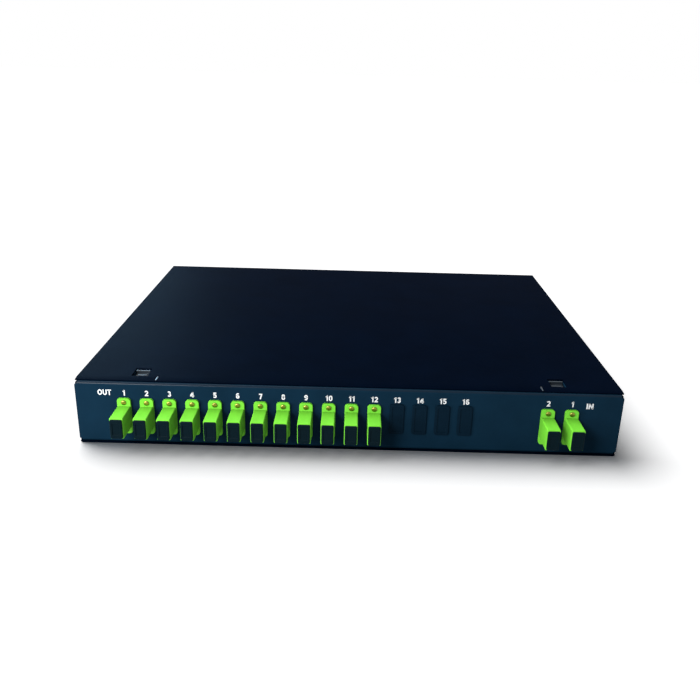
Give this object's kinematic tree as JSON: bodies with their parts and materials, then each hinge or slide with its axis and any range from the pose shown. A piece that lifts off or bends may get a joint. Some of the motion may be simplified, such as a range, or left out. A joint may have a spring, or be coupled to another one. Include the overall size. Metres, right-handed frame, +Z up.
{
  "type": "plc fibre splitter",
  "caption": "Flat black sheet-steel fibre splitter box, one rack unit high, with a row of green fibre adapters in pull-out dust caps across its front and blanks in the spare places.",
  "frame": {"origin": "middle of the underside of the box, on the surface it stands on", "axes": "+X to the right seen from the front, -Y towards the front with the adapters, +Z up"},
  "size_m": [0.35, 0.308, 0.0444],
  "materials": {
    "black_coat": "satin",
    "green_plastic": "gloss",
    "black_plastic": "matte",
    "brass_screws": "satin",
    "bright_steel": "satin",
    "spring_steel": "satin",
    "ceramic": "gloss",
    "fibre_jacket": "satin",
    "module_plastic": "matte",
    "chip_glass": "polished"
  },
  "bodies": {
    "housing": {"chassis_tray": "black_coat", "front_panel": "black_coat", "top_cover": "black_coat", "panel_screws": "black_coat", "cover_screws": "black_coat", "cover_hook_left": "spring_steel", "cover_hook_right": "spring_steel", "locating_key_left": "bright_steel", "locating_key_right": "bright_steel", "adapter_out_01": "green_plastic", "adapter_out_02": "green_plastic", "adapter_out_03": "green_plastic", "adapter_out_04": "green_plastic", "adapter_out_05": "green_plastic", "adapter_out_06": "green_plastic", "adapter_out_07": "green_plastic", "adapter_out_08": "green_plastic", "adapter_out_09": "green_plastic", "adapter_out_10": "green_plastic", "adapter_out_11": "green_plastic", "adapter_out_12": "green_plastic", "adapter_in_1": "green_plastic", "adapter_in_2": "green_plastic", "blank_13": "black_plastic", "blank_14": "black_plastic", "blank_15": "black_plastic", "blank_16": "black_plastic", "adapter_screws": "brass_screws", "adapter_nuts": "bright_steel", "alignment_sleeves": "ceramic", "plug_ferrules": "ceramic", "plug_housings": "green_plastic", "plug_boots": "green_plastic", "output_fibres": "fibre_jacket", "input_fibres": "fibre_jacket", "module_case": "module_plastic", "module_lid": "module_plastic", "module_standoffs": "bright_steel", "module_screws": "bright_steel", "plc_chip": "chip_glass"},
    "cap_out_01": {"dust_cap_out_01": "black_plastic"},
    "cap_out_02": {"dust_cap_out_02": "black_plastic"},
    "cap_out_03": {"dust_cap_out_03": "black_plastic"},
    "cap_out_04": {"dust_cap_out_04": "black_plastic"},
    "cap_out_05": {"dust_cap_out_05": "black_plastic"},
    "cap_out_06": {"dust_cap_out_06": "black_plastic"},
    "cap_out_07": {"dust_cap_out_07": "black_plastic"},
    "cap_out_08": {"dust_cap_out_08": "black_plastic"},
    "cap_out_09": {"dust_cap_out_09": "black_plastic"},
    "cap_out_10": {"dust_cap_out_10": "black_plastic"},
    "cap_out_11": {"dust_cap_out_11": "black_plastic"},
    "cap_out_12": {"dust_cap_out_12": "black_plastic"},
    "cap_in_1": {"dust_cap_in_1": "black_plastic"},
    "cap_in_2": {"dust_cap_in_2": "black_plastic"}
  },
  "joints": [
    {"name": "cap_out_01_slide", "type": "slide", "parent": "housing", "child": "cap_out_01", "axis": [0, -1, 0], "range_m": [0, 0.015]},
    {"name": "cap_out_02_slide", "type": "slide", "parent": "housing", "child": "cap_out_02", "axis": [0, -1, 0], "range_m": [0, 0.015]},
    {"name": "cap_out_03_slide", "type": "slide", "parent": "housing", "child": "cap_out_03", "axis": [0, -1, 0], "range_m": [0, 0.015]},
    {"name": "cap_out_04_slide", "type": "slide", "parent": "housing", "child": "cap_out_04", "axis": [0, -1, 0], "range_m": [0, 0.015]},
    {"name": "cap_out_05_slide", "type": "slide", "parent": "housing", "child": "cap_out_05", "axis": [0, -1, 0], "range_m": [0, 0.015]},
    {"name": "cap_out_06_slide", "type": "slide", "parent": "housing", "child": "cap_out_06", "axis": [0, -1, 0], "range_m": [0, 0.015]},
    {"name": "cap_out_07_slide", "type": "slide", "parent": "housing", "child": "cap_out_07", "axis": [0, -1, 0], "range_m": [0, 0.015]},
    {"name": "cap_out_08_slide", "type": "slide", "parent": "housing", "child": "cap_out_08", "axis": [0, -1, 0], "range_m": [0, 0.015]},
    {"name": "cap_out_09_slide", "type": "slide", "parent": "housing", "child": "cap_out_09", "axis": [0, -1, 0], "range_m": [0, 0.015]},
    {"name": "cap_out_10_slide", "type": "slide", "parent": "housing", "child": "cap_out_10", "axis": [0, -1, 0], "range_m": [0, 0.015]},
    {"name": "cap_out_11_slide", "type": "slide", "parent": "housing", "child": "cap_out_11", "axis": [0, -1, 0], "range_m": [0, 0.015]},
    {"name": "cap_out_12_slide", "type": "slide", "parent": "housing", "child": "cap_out_12", "axis": [0, -1, 0], "range_m": [0, 0.015]},
    {"name": "cap_in_1_slide", "type": "slide", "parent": "housing", "child": "cap_in_1", "axis": [0, -1, 0], "range_m": [0, 0.015]},
    {"name": "cap_in_2_slide", "type": "slide", "parent": "housing", "child": "cap_in_2", "axis": [0, -1, 0], "range_m": [0, 0.015]}
  ]
}
